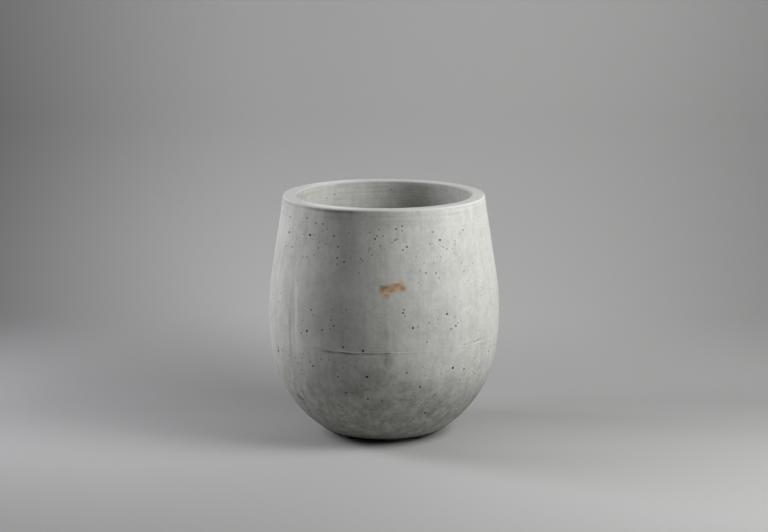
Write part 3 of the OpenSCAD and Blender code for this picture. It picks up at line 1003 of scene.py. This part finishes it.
def pull_loop(d):
    """Half a ring of round bar, standing on the plug with both feet sunk into its flange."""
    middle_z = SLEEVE_TOP + d.flange_t / 2
    loop = start_piece(
        "pull_loop", bpy.ops.mesh.primitive_circle_add, vertices=20, radius=d.loop_bar_d / 2,
        location=(d.loop_r, 0, middle_z))
    pick_only(loop)
    bpy.ops.object.transform_apply()
    edit(loop)
    bpy.ops.mesh.spin(steps=28, angle=math.pi, center=(0, 0, middle_z), axis=(0, -1, 0))
    bpy.ops.mesh.select_all(action="SELECT")
    bpy.ops.mesh.remove_doubles(threshold=0.001 * MM)
    bpy.ops.mesh.fill_holes(sides=0)
    bpy.ops.mesh.normals_make_consistent(inside=False)
    leave_edit()
    return loop


class PLANTER_OT_fit_drain(bpy.types.Operator):
    """Make the drain sleeve and its pull-out rubber plug"""

    bl_idname = "planter.fit_drain"
    bl_label = "Fit the drain"

    def execute(self, context):
        d, s = context.scene.planter_small_parts, context.scene.planter_bowl
        finishes = context.scene.planter_finishes
        tall, low = SLEEVE_TOP - BASE_Z, s.key_z
        outline = [
            (d.bore_r, 0), (s.hole_r, 0), (s.hole_r, low), (d.collar_r, low), (d.collar_r, low + d.collar_t),
            (s.hole_r, low + d.collar_t), (s.hole_r, tall), (d.bore_r, tall), (d.bore_r, 0)]
        sleeve = lathe("drain_sleeve_tube", outline, BASE_Z, 72)
        plug = lathe("rubber_drain_plug", plug_outline(d), SLEEVE_TOP, 72)
        combine(plug, pull_loop(d), "UNION", "EXACT")
        plastic = moulded_material("pipe_plastic", finishes.plastic, 0.42, 0.35)
        rubber = moulded_material("moulded_rubber", finishes.rubber, 0.55, 0.30)
        for piece, material, node, slot, body in (
                (sleeve, plastic, "drain_sleeve", "sleeve_plastic", "planter"),
                (plug, rubber, "drain_plug", "plug_rubber", "plug")):
            smooth(piece)
            dress(piece, material)
            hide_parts(node)
            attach(piece, body)
        return {"FINISHED"}


def pad_outline(d):
    """A pad from the middle of its grooved underside out to its rounded edge and up."""
    half, edge = d.pad_d / 2, d.pad_edge_r
    outline = [(0, 0)]
    for middle in (half * 0.22, half * 0.49, half * 0.76):
        outline += [(middle - 1.4 * MM, 0), (middle - 0.8 * MM, d.groove)]
        outline += [(middle + 0.8 * MM, d.groove), (middle + 1.4 * MM, 0)]
    corner = fillet(Vector((half, 0)), Vector((-1, 0)), Vector((0, 1)), edge, 4)
    outline += [tuple(p) for p in corner]
    for middle in (BASE_Z * 0.38, BASE_Z * 0.68):
        outline += [(half, middle - MM), (half - d.groove, middle - 0.4 * MM)]
        outline += [(half - d.groove, middle + 0.4 * MM), (half, middle + MM)]
    return outline + [(half, BASE_Z), (0, BASE_Z)]


class PLANTER_OT_set_pads(bpy.types.Operator):
    """Make one grooved rubber pad and copy it round under the base"""

    bl_idname = "planter.set_pads"
    bl_label = "Set the pads"

    def execute(self, context):
        d = context.scene.planter_small_parts
        rubber = moulded_material("grooved_rubber", context.scene.planter_finishes.rubber, 0.65, 0.45)
        first = lathe("rubber_pad", pad_outline(d), 0, 48, (d.pad_ring_r, 0, 0), soften=0.15 * MM)
        dress(first, rubber)
        smooth(first)
        for name in PAD_NODES:
            low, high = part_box(name)
            middle = (low + high) / 2
            pick_only(first)
            bpy.ops.object.duplicate()
            pad = context.active_object
            pad.name = pad.data.name = name.replace("floor_pad", "rubber_pad")
            pad.rotation_euler.z = math.atan2(middle.y, middle.x)
            bpy.ops.object.transform_apply(location=False, rotation=True, scale=False)
            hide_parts(name)
            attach(pad, "planter")
        bpy.data.objects.remove(first)
        return {"FINISHED"}


def paper_material(s):
    """The studio's floor and backdrop, clear to what looks at them from behind, with painted shade towards
    the sides and the back.
    """
    paint = Paint("studio_paper")
    axes = paint.add("ShaderNodeSeparateXYZ", {0: paint.place}).outputs
    # Painted shade: the backdrop darkens towards its sides, the floor towards its sides and behind the
    # planter
    left_shade = paint.spread(axes["X"], -0.28, -1.50)
    right_shade = paint.spread(axes["X"], -0.10, 1.90)
    aside = paint.maths("MAXIMUM", left_shade, paint.times(right_shade, 0.85))
    wall = paint.blend(aside, s.backdrop, s.edge)
    ground = paint.blend(paint.spread(axes["Y"], -0.25, 0.36), s.floor, s.far_floor_shade)
    for start, end, share in ((0.15, 0.80, 0.10), (0.60, 1.30, 0.14), (-0.60, -1.20, 0.12)):
        side = paint.times(paint.spread(axes["X"], start, end), share)
        ground = paint.blend(side, ground, s.edge)
    plain = paint.blend(paint.spread(axes["Z"], 0.0, 0.16), ground, wall)
    fibre, _ = paint.grain(0.004, 0.0)
    shade = paint.spread(fibre, 0.2, 0.8, 0.985, 1.0)
    back = paint.add("ShaderNodeNewGeometry").outputs["Backfacing"]
    clear = paint.add("ShaderNodeBsdfTransparent").outputs[0]
    mixed = paint.add("ShaderNodeMixShader", {0: back, 1: paint.shader.outputs[0], 2: clear})
    paint.feed(paint.output.inputs["Surface"], mixed.outputs[0])
    return paint.finish(
        Base_Color=paint.blend(1.0, plain, shade, mode="MULTIPLY"), Roughness=0.9, Specular_IOR_Level=0.1)


def around(degrees, rise, reach):
    """A lamp's place: degrees from the camera side, positive to the right, rise above level, and distance."""
    turn, up, middle_z = math.radians(degrees), math.radians(rise), 0.35
    return Vector((
        reach * math.sin(turn) * math.cos(up), -reach * math.cos(turn) * math.cos(up),
        middle_z + reach * math.sin(up)))


def add_lamp(name, place, aim, size, power, colour):
    bpy.ops.object.light_add(type="AREA", location=place)
    lamp = bpy.context.active_object
    lamp.name = lamp.data.name = name
    lamp.data.shape = "SQUARE"
    lamp.data.size = size
    lamp.data.energy = power
    lamp.data.color = colour
    lamp.rotation_mode = "QUATERNION"
    lamp.rotation_quaternion = (aim - place).to_track_quat("-Z", "Y")


class PLANTER_OT_set_studio(bpy.types.Operator):
    """Lay the seamless floor and backdrop, hang the lamps and set the camera"""

    bl_idname = "planter.set_studio"
    bl_label = "Set the studio"

    def execute(self, context):
        s = context.scene.planter_studio
        half, front, back, top = 12.0, -9.0, 9.0, 6.0
        points = [Vector((-half, front, 0)), Vector((-half, s.sweep_y, 0))]
        turn_c = Vector((s.sweep_y, s.sweep_r))
        points += [Vector((-half, p.x, p.y)) for p in arc(turn_c, s.sweep_r, -math.pi / 2, 0, 0.07)]
        points.append(Vector((-half, s.sweep_y + s.sweep_r, top)))
        sweep = trace("floor_and_backdrop", points)
        behind = trace("floor_behind", [Vector((-half, s.sweep_y, 0)), Vector((-half, back, 0))])
        for sheet in (sweep, behind):
            edit(sheet)
            bpy.ops.mesh.extrude_region_move(TRANSFORM_OT_translate={"value": (2 * half, 0, 0)})
            leave_edit()
            floor = max(sheet.data.polygons, key=lambda face: face.area * abs(face.normal.z))
            if floor.normal.z < 0:
                edit(sheet)
                bpy.ops.mesh.flip_normals()
                leave_edit()
            smooth(sheet, math.radians(60))
        paper = paper_material(s)
        for sheet in (sweep, behind):
            dress(sheet, paper)
        aim = Vector((0, 0, 0.33))
        for name, degrees, rise, reach, power, colour in (
                ("key_lamp", 70, 35, 2.4, s.key_power, s.key_colour),
                ("key_front_lamp", 60, 35, 2.4, s.key_front_power, s.key_colour),
                ("key_low_lamp", 70, 15, 2.4, s.key_low_power, s.key_colour),
                ("left_lamp", -100, 30, 2.6, s.left_power, s.left_colour),
                ("back_left_lamp", -115, 12, 2.6, s.back_left_power, s.left_colour)):
            add_lamp(name, around(degrees, rise, reach), aim, s.lamp_size, power, colour)
        world = bpy.data.worlds.new("studio")
        context.scene.world = world
        world.use_nodes = True
        sky = world.node_tree.nodes["Background"]
        sky.inputs["Color"].default_value = (1, 1, 1, 1)
        sky.inputs["Strength"].default_value = s.sky
        bpy.ops.object.camera_add(location=(0, -s.eye_y, s.eye_z), rotation=(math.pi / 2 - s.pitch, 0, 0))
        camera = context.active_object
        camera.name = camera.data.name = "camera"
        camera.data.sensor_width = SENSOR_MM
        camera.data.lens = s.lens
        camera.data.clip_end = 100
        context.scene.camera = camera
        context.scene.view_settings.view_transform = "Standard"
        return {"FINISHED"}


class PLANTER_PT_panel(bpy.types.Panel):
    """Lists the planter's steps and sizes"""

    bl_label = "Concrete planter"
    bl_idname = "PLANTER_PT_panel"
    bl_space_type = "VIEW_3D"
    bl_region_type = "UI"
    bl_category = "Planter"

    def draw(self, context):
        for title, group, _ in GROUPS:
            box = self.layout.box()
            box.label(text=title)
            settings = getattr(context.scene, group)
            for name in settings.__annotations__:
                box.prop(settings, name)
        for step in STEPS:
            self.layout.operator(step.bl_idname)


STEPS = (
    PLANTER_OT_cast_bowl, PLANTER_OT_rust_bars, PLANTER_OT_fit_drain, PLANTER_OT_set_pads,
    PLANTER_OT_set_studio)
GROUPS = (
    ("Bowl", "planter_bowl", BowlShape), ("Small parts", "planter_small_parts", SmallParts),
    ("Finishes", "planter_finishes", Finishes), ("Studio", "planter_studio", Studio))
CLASSES = (BowlShape, SmallParts, Finishes, Studio, *STEPS, PLANTER_PT_panel)


def register():
    for cls in CLASSES:
        bpy.utils.register_class(cls)
    for _, name, settings in GROUPS:
        setattr(bpy.types.Scene, name, bpy.props.PointerProperty(type=settings))


def unregister():
    for _, name, _ in GROUPS:
        delattr(bpy.types.Scene, name)
    for cls in reversed(CLASSES):
        bpy.utils.unregister_class(cls)


def main():
    register()
    for step in STEPS:
        group, name = step.bl_idname.split(".")
        getattr(getattr(bpy.ops, group), name)()


if __name__ == "__main__":
    main()
